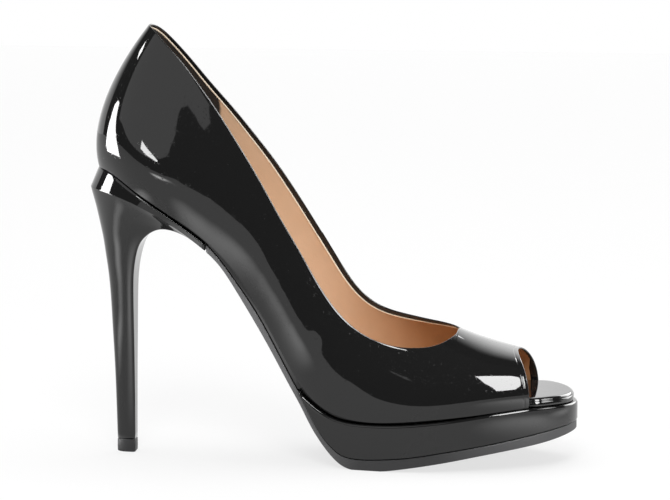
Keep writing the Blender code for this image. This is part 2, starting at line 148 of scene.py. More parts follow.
def feather_line():
    """Closed feather line, run on past the tip so that it is smooth there."""
    rows = []
    places = range(-TIP_ROW - 4, TIP_ROW + 5)
    for k in places:
        j = (k + TIP_ROW) % (2 * TIP_ROW) - TIP_ROW
        x, z, lateral, medial = FEATHER[abs(j)]
        y = medial if j > 0 or abs(j) == TIP_ROW else -lateral
        rows.append((x, y, z))
    return spline(places, rows)


def crest_line():
    rows = []
    for k in range(-PEEP_ROW, PEEP_ROW + 1):
        x, z, half, rise, bulge, drop, wide = CREST[abs(k)]
        rows.append((x, math.copysign(half, k), z, rise, bulge, drop, wide))
    return spline(range(-PEEP_ROW, PEEP_ROW + 1), rows)


def column(table, k):
    """One column of a table over its first, as a function."""
    return spline([r[0] for r in table], [r[k] for r in table])


feather = feather_line()
crest = crest_line()
SAMPLE_ROWS = np.linspace(0.0, TIP_ROW, 3000)
MEDIAL_SAMPLE = feather(SAMPLE_ROWS)
LATERAL_SAMPLE = feather(-SAMPLE_ROWS)
top_lateral, top_medial = column(TOP_LINE, 1), column(TOP_LINE, 2)
seat_drop, platform_drop = column(SEAT_DROP, 1), column(PLATFORM_DROP, 1)
outsole_low_line, outsole_share = column(OUTSOLE, 1), column(OUTSOLE, 2)


def unit(v):
    return v / np.maximum(np.linalg.norm(v, axis=-1), 1e-12)[..., None]


def plan_normal(u):
    """Outward direction across the feather line, seen from above."""
    d = feather(u + 0.001) - feather(u - 0.001)
    return unit(np.stack([-d[..., 1], d[..., 0]], -1))


def collar_share(u):
    """1 along the collar, easing to 0 at the throat."""
    t = np.clip((THROAT_ROW - np.abs(u)) / COLLAR_BLEND_ROWS, 0.0, 1.0)
    return t * t * t * (t * (6.0 * t - 15.0) + 10.0)


def wall_point(u, t):
    """Smooth outer face of the last: u along the feather line, t from it to the crest."""
    foot = feather(u)
    row = crest(u)
    share = collar_share(u)
    out = plan_normal(u)
    side = np.where(u > 0, 1.0, -1.0)
    top = np.stack([row[..., 0], row[..., 1] * share, row[..., 2]], -1)
    lean = top[..., 0] - foot[..., 0]
    low = foot.copy()
    low[..., 0] += LOW_LEAN * lean + out[..., 0] * row[..., 4]
    low[..., 1] += out[..., 1] * row[..., 4]
    low[..., 2] += row[..., 3]
    across = out[..., 1] * share + side * (1.0 - share)
    upper_out = unit(np.stack([out[..., 0] * share, across], -1))
    high = top.copy()
    high[..., 0] += upper_out[..., 0] * row[..., 6] - HIGH_LEAN * lean * share
    high[..., 1] += upper_out[..., 1] * row[..., 6]
    high[..., 2] -= row[..., 5] * share
    near_peep = np.clip((np.abs(u) - THROAT_ROW) / (PEEP_ROW - THROAT_ROW), 0.0, 1.0) ** 2
    low[..., 0] -= side * PEEP_LOW_BOW * near_peep
    high[..., 0] -= side * PEEP_HIGH_BOW * near_peep
    t = t[..., None]
    s = 1.0 - t
    return foot * s ** 3 + low * 3 * s * s * t + high * 3 * s * t * t + top * t ** 3


def wall_normal(u, t):
    du = wall_point(u + 0.002, t) - wall_point(u - 0.002, t)
    dt = wall_point(u, t + 0.002) - wall_point(u, t - 0.002)
    return unit(np.cross(dt, du))


def top_height(x, blend):
    """Height of the top line; blend 0 on the lateral side, 1 on the medial."""
    return top_lateral(x) * (1.0 - blend) + top_medial(x) * blend


def top_slope(x, blend):
    m = top_height(x + 0.5, blend) - top_height(x - 0.5, blend)
    return np.sqrt(1.0 + m * m)


HALVINGS = 40


def cut_share(u, fold=0.0):
    """Share of each column below the top line, less the height of the folded edge."""
    out = np.ones(u.shape)
    live = np.abs(u) < THROAT_ROW - 1e-6
    low = np.full(u.shape, 0.3)
    high = np.ones(u.shape)
    blend = np.clip(u * 2.0 + 0.5, 0.0, 1.0)
    for _ in range(HALVINGS):
        mid = 0.5 * (low + high)
        p = wall_point(u, mid)
        above = p[..., 2] > top_height(p[..., 0], blend) - fold * top_slope(p[..., 0], blend)
        high = np.where(above, mid, high)
        low = np.where(above, low, mid)
    out[live] = high[live]
    return out


# Medial seam: where the quarter's overlap begins, its height, the rows over which it fades
SEAM_ROW, OVERLAP, OVERLAP_ROWS = 6.0, 0.35, 0.8
# Groove stitched beside the peep's edge: depth, rows from the edge, width in rows
GROOVE, GROOVE_PLACE, GROOVE_WIDTH = 0.12, 0.17, 0.035
CREASE_FADE = 0.16   # share below the top line over which the creases end
# Soft creases and dents. Columns: row, share up the wall, reach along in rows, reach up in
# shares, height outward
CREASES = (
    (-2.25, 0.27, 0.25, 0.05, -0.05),
    (-2.9, 0.33, 0.30, 0.06, 0.12),
    (-3.6, 0.38, 0.30, 0.07, 0.14),
    (-4.9, 0.40, 0.40, 0.08, 0.12),
    (-5.6, 0.52, 0.25, 0.07, 0.16),
    (-6.3, 0.58, 0.42, 0.10, 0.75),
    (-6.6, 0.45, 0.12, 0.05, -0.15),
    (-7.0, 0.47, 0.35, 0.09, 0.65),
    (-7.8, 0.40, 0.30, 0.07, 0.16),
    (-8.3, 0.30, 0.40, 0.06, 0.12),
    (-8.6, 0.52, 0.30, 0.08, -0.12),
    (-9.5, 0.25, 0.50, 0.06, -0.10),
    (-11.2, 0.22, 0.60, 0.06, 0.10),
    (7.2, 0.50, 0.40, 0.09, 0.35),
    (8.4, 0.40, 0.35, 0.08, 0.20),
)


def seam_step(u, lead):
    """Height of the quarter's overlap on the medial side; lead: rows to rise to it."""
    before = np.exp(-((u - SEAM_ROW) / max(lead, 1e-6)) ** 2)
    after = np.exp(-(np.maximum(u, SEAM_ROW) - SEAM_ROW) / OVERLAP_ROWS)
    return OVERLAP * np.where(u >= SEAM_ROW, after, before)


COLUMN_ROWS = np.linspace(-PEEP_ROW, PEEP_ROW, 601)
COLUMN_TOPS = cut_share(COLUMN_ROWS)


def skin_point(u, t):
    """Outer face of the patent leather, with overlap, creases and the peep's groove."""
    below_top = np.clip((np.interp(u, COLUMN_ROWS, COLUMN_TOPS) - t) / CREASE_FADE, 0.0, 1.0)
    below_top = below_top * below_top * (3.0 - 2.0 * below_top)
    step = seam_step(u, 0.0)
    for row, high, along, up, height in CREASES:
        share = np.exp(-((u - row) / along) ** 2 - ((t - high) / up) ** 2)
        step = step + height * below_top * share
    groove = (np.abs(u) - PEEP_ROW + GROOVE_PLACE) / GROOVE_WIDTH
    step = step - GROOVE * np.exp(-groove ** 2)
    return wall_point(u, t) + wall_normal(u, t) * step[..., None]


def feather_z(x):
    return np.interp(x, MEDIAL_SAMPLE[:, 0], MEDIAL_SAMPLE[:, 2])


def slope_factor(x):
    m = feather_z(x + 0.5) - feather_z(x - 0.5)
    return np.sqrt(1.0 + m * m)


def outsole_low(x):
    return np.maximum(outsole_low_line(x), 0.0)


def outsole_top(x):
    return outsole_low_line(x) + outsole_share(x) * OUTSOLE_THICKNESS


def platform_top(x):
    return feather_z(x) - platform_drop(np.maximum(x, PLATFORM_START))


def seat_z(x):
    """Upper faces that carry the insole: heel seat, outsole's waist, platform."""
    waist = np.where(x < OUTSOLE_START, feather_z(x) - seat_drop(x), outsole_top(x))
    return np.where(x < PLATFORM_START, waist, platform_top(x))


def row_at(x):
    return float(np.interp(x, MEDIAL_SAMPLE[:, 0], SAMPLE_ROWS))


# Mesh helpers

WELD = 0.00001   # metres


def lay_grid(bm, points):
    """A grid of quads, its corners laid on an array of points in rows and columns."""
    rows, columns = points.shape[:2]
    made = bmesh.ops.create_grid(bm, x_segments=columns - 1, y_segments=rows - 1, size=1.0)
    place = (points - SHIFT) * MM
    for v in made["verts"]:
        i = round((v.co.x + 1.0) / 2.0 * (columns - 1))
        j = round((v.co.y + 1.0) / 2.0 * (rows - 1))
        v.co = place[j, i]


def finish_piece(name, grids, material, node=None, inward=False):
    """One piece of the shoe, from grids of points that are welded where they meet."""
    bm = bmesh.new()
    for points in grids:
        lay_grid(bm, points)
    bmesh.ops.remove_doubles(bm, verts=bm.verts, dist=WELD)
    bmesh.ops.dissolve_degenerate(bm, edges=bm.edges, dist=WELD / 5.0)
    bmesh.ops.recalc_face_normals(bm, faces=bm.faces)
    if inward:
        bmesh.ops.reverse_faces(bm, faces=bm.faces)
    mesh = bpy.data.meshes.new(name)
    for face in bm.faces:
        face.smooth = True
    bm.to_mesh(mesh)
    bm.free()
    mesh.materials.append(material)
    piece = bpy.data.objects.new(name, mesh)
    bpy.context.scene.collection.objects.link(piece)
    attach(piece, "root")
    if node:
        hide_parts(node)
    return piece


def thicken(piece, thickness):
    wall = piece.modifiers.new("wall", "SOLIDIFY")
    wall.thickness = thickness * MM
    wall.offset = -1.0
    wall.use_quality_normals = True


# Upper: patent skin with turned edges, lining and its cut edge

FOLD, FOLD_ROWS = 0.42, 9             # radius of the turned edges, and their steps
TOP_TURN_SHORT, TOP_TURN = 0.9, 2.0   # length turned in at the back and along the collar
PEEP_TURN_LOW, PEEP_TURN = 3.5, 1.0   # and at the peep, near the sole and above
SKIN_ROWS, LINING_ROWS = 47, 33       # steps up the wall
SKIRT, SKIRT_ROUND, SKIRT_TUCK = 0.5, 0.6, 1.0   # skin below the feather line, its curl
SKIN_THICKNESS, LINING_THICKNESS = 0.35, 0.3
LINING_DEPTH = 0.76                   # its inner face below the last's outer face
LINING_LEAD = 0.6                     # rows over which the lining rises to the overlap
LINING_FOOT, LINING_TOP = 0.02, 0.995   # shares of the skin's height
BEAD_THICK, BEAD_WIDE = 0.36, 0.42    # half sizes of the lining's cut edge
BEAD_DEPTH, BEAD_DROP = 0.69, 0.3     # its place inside the skin and below the turned edge


def wall_rows(per_row):
    """Column positions round the upper, closer beside throat, seam and peep."""
    steps = set()
    for k in range(PEEP_ROW):
        for f in np.linspace(0.0, 1.0, per_row, endpoint=False):
            share = 1.0 - (1.0 - f) ** 2 if k == THROAT_ROW - 1 else f
            steps.add(round(k + share, 6))
    steps.add(float(PEEP_ROW))
    half = np.array(sorted(steps))
    extra = SEAM_ROW + np.array([-0.03, -0.015, -0.001, 0.0, 0.015, 0.03])
    fine = PEEP_ROW - np.linspace(0.03, 0.3, 19)
    medial = np.array(sorted(set(np.round(np.concatenate([half[half > 0], extra, fine]), 6))))
    lateral = np.array(sorted(set(np.round(np.concatenate([half, fine]), 6))))
    return np.concatenate([-lateral[::-1], medial])


def edge_frame(points, normals, flip):
    """Direction in the surface that leads away from the skin's edge."""
    along = unit(np.gradient(points, axis=0))
    return unit(np.cross(along, normals)) * flip


def folded_edge(points, normals, away, back, radius=FOLD):
    """Edge turned over a half circle and brought back inside."""
    layers = []
    for angle in np.linspace(0.0, math.pi, FOLD_ROWS):
        inward = radius * (1 - math.cos(angle))
        layers.append(points - normals * inward + away * radius * math.sin(angle))
    last = layers[-1]
    for share in (0.34, 0.67, 1.0):
        layers.append(last - away * back * share)
    return np.stack(layers)


def collar_rows(us):
    return us[np.abs(us) <= THROAT_ROW + 1e-9]


def turn_in(us):
    """Length that the top line's edge runs back down inside."""
    return np.interp(np.abs(us), [0.0, 2.0, 5.0], [TOP_TURN_SHORT, 1.2, TOP_TURN])


def topline(us, point):
    """Points, normals and directions away from the skin along the top line."""
    cut = cut_share(us, FOLD)
    p = point(us, cut)
    n = wall_normal(us, cut)
    along = np.gradient(p, axis=0)
    along[[0, -1]] = (0.0, -1.0, 0.0)
    return p, n, unit(np.cross(unit(along), n))


def make_patent_skin(material):
    us = wall_rows(14)
    share = np.linspace(0.0, 1.0, SKIN_ROWS)
    grid_u = np.broadcast_to(us, (SKIN_ROWS, len(us)))
    grids = [skin_point(grid_u, share[:, None] * cut_share(us, FOLD))]
    collar = collar_rows(us)
    p, n, away = topline(collar, skin_point)
    grids.append(folded_edge(p, n, away, turn_in(collar)[:, None]))
    for side in (-1.0, 1.0):
        u = np.full(SKIN_ROWS, side * PEEP_ROW)
        p = skin_point(u, share)
        n = wall_normal(u, share)
        turned = np.interp(share, [0.2, 0.35], [PEEP_TURN_LOW, PEEP_TURN])[:, None]
        grids.append(folded_edge(p, n, edge_frame(p, n, -side), turned))
    foot = np.zeros(len(us))
    p = skin_point(us, foot)
    n = wall_normal(us, foot)
    away = edge_frame(p, n, -1.0)
    curl = [p]
    for angle in np.linspace(0.0, math.pi / 2, 6):
        down = SKIRT + SKIRT_ROUND * math.sin(angle)
        curl.append(p - n * SKIRT_ROUND * (1 - math.cos(angle)) + away * down)
    curl.append(curl[-1] - n * SKIRT_TUCK)
    grids.append(np.stack(curl))
    piece = finish_piece("upper_patent_leather", grids, material, "upper")
    thicken(piece, SKIN_THICKNESS)


def make_lining(material):
    us = wall_rows(8)
    share = np.linspace(LINING_FOOT, LINING_TOP, LINING_ROWS)[:, None]
    grid_u = np.broadcast_to(us, (LINING_ROWS, len(us)))
    t = share * np.where(np.abs(us) < THROAT_ROW, cut_share(us, FOLD), 1.0 / LINING_TOP)
    depth = LINING_DEPTH - seam_step(grid_u, LINING_LEAD)
    points = wall_point(grid_u, t) - wall_normal(grid_u, t) * depth[..., None]
    piece = finish_piece("upper_lining", [points], material, inward=True)
    thicken(piece, LINING_THICKNESS)


def make_lining_edge(material):
    """Cut edge of the lining, just under the turned top line."""
    collar = collar_rows(wall_rows(14))
    p, n, away = topline(collar, wall_point)
    middle = p - n * BEAD_DEPTH - away * (turn_in(collar)[:, None] + BEAD_DROP)
    layers = []
    for angle in np.linspace(0.0, 2 * math.pi, 9):
        across = n * BEAD_THICK * math.cos(angle)
        layers.append(middle + across + away * BEAD_WIDE * math.sin(angle))
    finish_piece("lining_cut_edge", [np.stack(layers)], material)


# Plates: insole, platform, outsole

FILL_SHARES = np.linspace(0.0, 1.0, 13)[1:]   # steps from a plate's edge to its middle
TIP_FILL_ROWS = 2.0
EDGE_ROOM = 0.35                              # share of the thickness that an edge may round


def plate_loop(rows, offset, closed_start):
    """Closed loop round a plate, with the point inside that each place is filled toward."""
    lateral = feather(-rows)[:, :2] + plan_normal(-rows) * offset[:, None]
    medial = feather(rows)[:, :2] + plan_normal(rows) * offset[:, None]
    low_row = rows[0] + (0.5 if closed_start else 0.0)
    inner_rows = np.clip(rows, low_row, rows[-1] - TIP_FILL_ROWS)
    centre = 0.5 * (feather(-inner_rows)[:, :2] + feather(inner_rows)[:, :2])
    loop = np.concatenate([lateral, medial[-2::-1]])
    middle = np.concatenate([centre, centre[-2::-1]])
    if not closed_start:
        f = FILL_SHARES[:, None]
        loop = np.concatenate([loop, medial[0] * (1 - f) + lateral[0] * f])
        middle = np.concatenate([middle, np.repeat(centre[:1], len(f), 0)])
    return loop, middle


def make_plate(name, rows, offset, closed_start, faces, profile, material, node):
    """Plate along the feather line.

    rows: places along it; offset: how far outside it the edge lies at each.
    faces: function of the distance along, giving the lower and upper face.
    profile: rows of inset from the edge, face measured from, step above it.
    """
    loop, middle = plate_loop(rows, offset, closed_start)
    ring = loop[:-1]
    tangent = np.roll(ring, -1, 0) - np.roll(ring, 1, 0)
    out = unit(np.stack([-tangent[:, 1], tangent[:, 0]], -1))
    out *= np.sign(np.sum(out * (ring - ring.mean(0))))
    out = np.concatenate([out, out[:1]])
    layers = []
    for inset, face, step in profile:
        flat = loop - out * inset
        low, high = faces(flat[:, 0])
        room = EDGE_ROOM * (high - low)
        height = (low if face == "lower" else high) + np.clip(step, -room, room)
        layers.append(np.column_stack([flat, height]))
    inner = []
    for face, inset in (("lower", profile[0][0]), ("upper", profile[-1][0])):
        start = loop - out * inset
        part = []
        for f in FILL_SHARES:
            flat = start * (1 - f) + middle * f
            low, high = faces(flat[:, 0])
            part.append(np.column_stack([flat, low if face == "lower" else high]))
        inner.append(part)
    finish_piece(name, [np.stack(inner[0][::-1] + layers + inner[1])], material, node)


def rounded_profile(lower, upper):
    """Edge from the lower to the upper face with its two rounded corners."""
    rows = []
    for angle in np.linspace(0.0, math.pi / 2, 7):
        rows.append((lower * (1 - math.sin(angle)), "lower", lower * (1 - math.cos(angle))))
    for angle in np.linspace(math.pi / 2, 0.0, 9):
        rows.append((upper * (1 - math.sin(angle)), "upper", -upper * (1 - math.cos(angle))))
    return rows


# Insole's edge outside the feather line, from inside the upper to the open toe
INSOLE_EDGE = ((0.0, -WALL - CLEARANCE), (PEEP_ROW + 0.06, -WALL - CLEARANCE), (PEEP_ROW + 0.3, -0.7),
               (PEEP_ROW + 0.6, -0.25), (TIP_ROW, -1.4))


def make_insole(material):
    rows = np.concatenate([np.linspace(0.0, PEEP_ROW, 160),
                           PEEP_ROW + np.array([0.06, 0.12, 0.18, 0.25, 0.35]),
                           np.linspace(PEEP_ROW + 0.45, TIP_ROW, 60)])
    offset = np.interp(rows, *zip(*INSOLE_EDGE))

    def faces(x):
        slope = slope_factor(x)
        return seat_z(x) + CLEARANCE * slope, feather_z(x) + INSOLE_THICKNESS * slope

    make_plate("insole_toe_cover", rows, offset, True, faces, rounded_profile(0.7, 1.7), material,
               "insole")


SOCK_END, SOCK_INSET, SOCK_THICKNESS = 174.0, 1.05, 0.3
SOCK_RISE = 0.35   # sock's grid above the insole
SOCK_CURL = 0.9    # how far its edges curl up


def make_sock(material):
    rows = np.linspace(0.0, row_at(SOCK_END), 150)
    lateral = feather(-rows)[:, :2] - plan_normal(-rows) * SOCK_INSET
    medial = feather(rows)[:, :2] - plan_normal(rows) * SOCK_INSET
    f = np.linspace(0.0, 1.0, 31)[:, None, None]
    flat = lateral * (1 - f) + medial * f
    curl = SOCK_CURL * np.abs(2 * f[..., 0] - 1.0) ** 10
    x = flat[..., 0]
    top = feather_z(x) + (INSOLE_THICKNESS + SOCK_RISE) * slope_factor(x) + curl
    points = np.concatenate([flat, top[..., None]], -1)
    piece = finish_piece("leather_sock", [points], material)
    if piece.data.polygons[0].normal.z < 0:
        piece.data.flip_normals()
    thicken(piece, SOCK_THICKNESS)


def plate_rows(start, count):
    return np.concatenate([np.linspace(row_at(start), PEEP_ROW, count),
                           np.linspace(PEEP_ROW + 0.1, TIP_ROW, 70)])


def make_platform(material):
    rows = plate_rows(PLATFORM_START, 120)

    def faces(x):
        return outsole_top(x) + CLEARANCE * slope_factor(x), platform_top(x)

    make_plate("platform_cover", rows, np.full(len(rows), PLATFORM_PROUD), False, faces,
               rounded_profile(0.5, 1.1), material, "platform")


def make_outsole(material):
    rows = plate_rows(OUTSOLE_START, 160)
    offset = np.interp(feather(rows)[:, 0], [80.0, 98.0], [-WAIST_INSET, 0.0])

    def faces(x):
        return outsole_low(x), outsole_top(x)

    make_plate("leather_outsole", rows, offset, False, faces, rounded_profile(0.5, 0.4), material,
               "outsole")


# Heel and top lift

BREAST_ROUND = 0.9   # corner between the heel's side and its breast


def heel_section(row, inset=0.0, seat=False):
    """Closed outline of one section, D-shaped with rounded corners at the breast.

    seat: the outline under the counter, which follows the feather line.
    """
    back_share, back_z, front_share, front_z, half_share, lift, seat_share = row
    tip = TIP_LENGTH / 2
    back_x = -tip + back_share * (RIM_BACK + tip) + inset
    front_x = tip + front_share * (RIM_FRONT - tip) - inset
    half = TIP_WIDTH / 2 + half_share * (RIM_HALF - TIP_WIDTH / 2) - inset
    if seat:
        back_x, front_x = FEATHER[0][0] + inset, RIM_FRONT - inset
    phi = np.linspace(0.0, math.pi / 2, 40)
    f = 1.0 - np.cos(phi)
    seat_x = FEATHER[0][0] + (RIM_FRONT - FEATHER[0][0]) * f
    lateral = -np.interp(seat_x, LATERAL_SAMPLE[:, 0], LATERAL_SAMPLE[:, 1])
    medial = np.interp(seat_x, MEDIAL_SAMPLE[:, 0], MEDIAL_SAMPLE[:, 1])
    x = back_x + (front_x - BREAST_ROUND - back_x) * f
    halves = []
    for side, line in ((-1.0, lateral), (1.0, medial)):
        y = half * ((1.0 - seat_share) * np.sin(phi) + seat_share * line / RIM_LINE)
        if seat:
            y = line - inset * np.sin(phi)
        turn = np.linspace(0.0, math.pi / 2, 7)[1:]
        cx = x[-1] + BREAST_ROUND * np.sin(turn)
        cy = y[-1] - BREAST_ROUND * (1 - np.cos(turn))
        flat = np.linspace(1.0, 0.0, 9)[1:]
        px = np.concatenate([x, cx, np.full(len(flat), cx[-1])])
        py = np.concatenate([y, cy, cy[-1] * flat])
        halves.append(np.stack([px, side * py], -1))
    loop = np.concatenate([halves[0], halves[1][-2::-1]])
    share = (loop[:, 0] - back_x) / (front_x - back_x)
    z = back_z + (front_z - back_z) * share + lift * 4.0 * share * (1.0 - share)
    if seat:
        z = seat_z(loop[:, 0])
    return np.column_stack([loop, z])


def caps(section, height=None):
    """Layers that close a section towards its middle line."""
    layers = []
    for f in np.linspace(0.0, 1.0, 9)[1:]:
        p = section.copy()
        p[:, 1] *= 1 - f
        if height is not None:
            p[:, 2] = height(p[:, 0])
        layers.append(p)
    return layers


def make_heel(material):
    low = TOP_LIFT + CLEARANCE
    table = np.array([(r[0], max(r[1], low), r[2], max(r[3], low), *r[4:]) for r in HEEL])
    between = spline(range(len(HEEL)), table)
    rim_row = len(HEEL) - 1.0
    places = np.concatenate([np.linspace(0.0, rim_row, 97)[:-1], [rim_row - 0.03, rim_row]])
    layers = [heel_section(between(np.array([k]))[0]) for k in places]
    rim = layers[-1]
    seat = heel_section(table[-1], seat=True)
    for f in (0.03, 0.2, 0.4, 0.6, 0.8, 0.95):
        layers.append(rim * (1 - f) + seat * f)
    layers.append(heel_section(table[-1], inset=0.1, seat=True))
    inner = heel_section(table[-1], inset=0.35, seat=True)
    layers.append(inner)
    stack = caps(layers[0])[::-1] + layers + caps(inner, seat_z)
    finish_piece("heel_cover", [np.stack(stack)], material, "heel")


# Columns: height, inset
TOP_LIFT_SIDE = ((0.0, 0.4), (0.12, 0.12), (0.4, 0.0), (2.8, -0.05), (5.3, 0.0), (5.6, 0.1),
                 (TOP_LIFT, 0.3))


def make_top_lift(material):
    layers = [heel_section((0, z, 0, z, 0, 0, 0), inset) for z, inset in TOP_LIFT_SIDE]
    stack = caps(layers[0])[::-1] + layers + caps(layers[-1])
    finish_piece("heel_top_lift", [np.stack(stack)], material, "top_lift")


# Materials

def new_group(name, inputs, outputs):
    tree = bpy.data.node_groups.new(name, "ShaderNodeTree")
    for label, kind, value in inputs:
        socket = tree.interface.new_socket(label, in_out="INPUT", socket_type="NodeSocket" + kind)
        if value is not None:
            socket.default_value = value
    for label, kind in outputs:
        tree.interface.new_socket(label, in_out="OUTPUT", socket_type="NodeSocket" + kind)
    return tree, tree.nodes.new("NodeGroupInput"), tree.nodes.new("NodeGroupOutput")


def add_node(tree, kind, **values):
    """Node with its properties and unlinked inputs set; _ in a name stands for a space."""
    node = tree.nodes.new("ShaderNode" + kind)
    for key, value in values.items():
        label = key.replace("_", " ")
        if label in node.inputs:
            node.inputs[label].default_value = value
        else:
            setattr(node, key, value)
    return node


def wire(tree, *links):
    """Links, each given as a node, its output, the next node and its input."""
    for source, output, target, socket in links:
        tree.links.new(source.outputs[output], target.inputs[socket])


def patent_film_group():
    """Slow waves of the glossy film and a little dust."""
    tree, inp, out = new_group("patent film", (
        ("Position", "Vector", None), ("Wave size", "Float", 60.0), ("Wave height", "Float", 0.1),
        ("Dust", "Float", 0.3),
    ), (("Roughness", "Float"), ("Normal", "Vector")))
    wave = add_node(tree, "TexNoise", Detail=2.0, Roughness=0.4)
    bump = add_node(tree, "Bump", Distance=0.0006)
    speck = add_node(tree, "TexNoise", Scale=900.0, Detail=2.0)
    sharp = add_node(tree, "MapRange", From_Min=0.62, From_Max=0.8)
    dusty = add_node(tree, "Math", operation="MULTIPLY")
    rough = add_node(tree, "Math", operation="ADD")
    rough.inputs[1].default_value = 0.035
    wire(tree, (inp, "Position", wave, "Vector"), (inp, "Wave size", wave, "Scale"),
         (inp, "Wave height", bump, "Strength"), (wave, "Fac", bump, "Height"),
         (inp, "Position", speck, "Vector"), (speck, "Fac", sharp, "Value"),
         (sharp, "Result", dusty, 0), (inp, "Dust", dusty, 1), (dusty, 0, rough, 0),
         (rough, 0, out, "Roughness"), (bump, "Normal", out, "Normal"))
    return tree


def leather_grain_group():
    """Fine pores with slow changes of colour."""
    tree, inp, out = new_group("leather grain", (
        ("Position", "Vector", None), ("Light", "Color", (0.7, 0.45, 0.3, 1.0)),
        ("Dark", "Color", (0.5, 0.3, 0.2, 1.0)), ("Pore size", "Float", 1500.0),
        ("Pore depth", "Float", 0.3),
    ), (("Color", "Color"), ("Roughness", "Float"), ("Normal", "Vector")))
    slow = add_node(tree, "TexNoise", Scale=45.0, Detail=4.0, Roughness=0.55)
    mix = add_node(tree, "Mix", data_type="RGBA")
    pores = add_node(tree, "TexVoronoi", feature="F1")
    bump = add_node(tree, "Bump", Distance=0.00008)
    rough = add_node(tree, "MapRange", To_Min=0.42, To_Max=0.62)
    wire(tree, (inp, "Position", slow, "Vector"), (slow, "Fac", mix, MIX_SHARE),
         (inp, "Dark", mix, MIX_FIRST), (inp, "Light", mix, MIX_SECOND),
         (inp, "Position", pores, "Vector"), (inp, "Pore size", pores, "Scale"),
         (inp, "Pore depth", bump, "Strength"), (pores, "Distance", bump, "Height"),
         (slow, "Fac", rough, "Value"), (mix, MIX_RESULT, out, "Color"),
         (rough, "Result", out, "Roughness"), (bump, "Normal", out, "Normal"))
    return tree


def backdrop_fade_group():
    """Backdrop that is bright near the floor and fades upward."""
    tree, inp, out = new_group("backdrop fade", (
        ("Position", "Vector", None), ("Glow", "Float", 1.0), ("Fade from", "Float", 0.5),
        ("Fade to", "Float", 2.3),
    ), (("Strength", "Float"),))
    split = add_node(tree, "SeparateXYZ")
    fade = add_node(tree, "MapRange", interpolation_type="SMOOTHSTEP", To_Min=1.0, To_Max=0.02)
    scale = add_node(tree, "Math", operation="MULTIPLY")
    wire(tree, (inp, "Position", split, 0), (split, "Z", fade, "Value"),
         (inp, "Fade from", fade, "From Min"), (inp, "Fade to", fade, "From Max"),
         (fade, "Result", scale, 0), (inp, "Glow", scale, 1), (scale, 0, out, "Strength"))
    return tree


def light_pool_group():
    """Oval pool of light with a soft edge."""
    tree, inp, out = new_group("light pool", (
        ("Position", "Vector", None), ("Centre", "Vector", (0.0, 0.0, 0.0)), ("Turn", "Float", 0.0),
        ("Half size", "Vector", (0.1, 0.1, 1.0)), ("Glow", "Float", 1.0),
    ), (("Strength", "Float"),))
    turn = add_node(tree, "VectorRotate", rotation_type="Z_AXIS", invert=True)
    away = add_node(tree, "VectorMath", operation="SUBTRACT")
    share = add_node(tree, "VectorMath", operation="DIVIDE")
    far = add_node(tree, "VectorMath", operation="LENGTH")
    fade = add_node(tree, "MapRange", interpolation_type="SMOOTHSTEP", To_Min=1.0, To_Max=0.0)
    scale = add_node(tree, "Math", operation="MULTIPLY")
    wire(tree, (inp, "Position", turn, "Vector"), (inp, "Centre", turn, "Center"),
         (inp, "Turn", turn, "Angle"), (turn, 0, away, 0), (inp, "Centre", away, 1),
         (away, 0, share, 0), (inp, "Half size", share, 1), (share, 0, far, 0),
         (far, "Value", fade, "Value"), (fade, "Result", scale, 0), (inp, "Glow", scale, 1),
         (scale, 0, out, "Strength"))
    return tree


def shade_change_group():
    """Second colour that takes over along the shoe, with an uneven border; it also paints the shade
    in the lining's toe and the light and shade along the sole.
    """
    tree, inp, out = new_group("shade change", (
        ("Position", "Vector", None), ("First colour", "Color", (0.1, 0.1, 0.1, 1.0)),
        ("Second colour", "Color", (0.1, 0.1, 0.1, 1.0)), ("From", "Float", 0.0),
        ("To", "Float", 0.1), ("Unevenness", "Float", 0.0),
    ), (("Color", "Color"),))
    split = add_node(tree, "SeparateXYZ")
    noise = add_node(tree, "TexNoise", Scale=220.0, Detail=3.0)
    wobble = add_node(tree, "Math", operation="MULTIPLY_ADD")
    share = add_node(tree, "MapRange")
    mix = add_node(tree, "Mix", data_type="RGBA")
    wire(tree, (inp, "Position", split, 0), (inp, "Position", noise, "Vector"),
         (noise, "Fac", wobble, 0), (inp, "Unevenness", wobble, 1), (split, "X", wobble, 2),
         (wobble, 0, share, "Value"), (inp, "From", share, "From Min"),
         (inp, "To", share, "From Max"), (share, "Result", mix, MIX_SHARE),
         (inp, "First colour", mix, MIX_FIRST), (inp, "Second colour", mix, MIX_SECOND),
         (mix, MIX_RESULT, out, "Color"))
    return tree


# Sockets of a Mix node that mixes colours
MIX_SHARE, MIX_FIRST, MIX_SECOND, MIX_RESULT = 0, 6, 7, 2
patent_film = patent_film_group()
light_pool = light_pool_group()
shade_change = shade_change_group()
backdrop_fade = backdrop_fade_group()
leather_grain = leather_grain_group()


def new_material(name, **sockets):
    material = bpy.data.materials.new(name)
    material.use_nodes = True
    shader = material.node_tree.nodes["Principled BSDF"]
    for key, value in sockets.items():
        shader.inputs[key.replace("_", " ")].default_value = value
    return material, material.node_tree, shader


def placed_group(tree, group, **values):
    node = add_node(tree, "Group", node_tree=group)
    for key, value in values.items():
        node.inputs[key.replace("_", " ")].default_value = value
    wire(tree, (add_node(tree, "TexCoord"), "Object", node, "Position"))
    return node


def patent_material(name, wave_size, wave_height, dust):
    material, tree, shader = new_material(name, Base_Color=(0.008, 0.008, 0.008, 1.0), IOR=1.46)
    film = placed_group(tree, patent_film, Wave_size=wave_size, Wave_height=wave_height, Dust=dust)
    wire(tree, (film, "Roughness", shader, "Roughness"), (film, "Normal", shader, "Normal"))
    return material


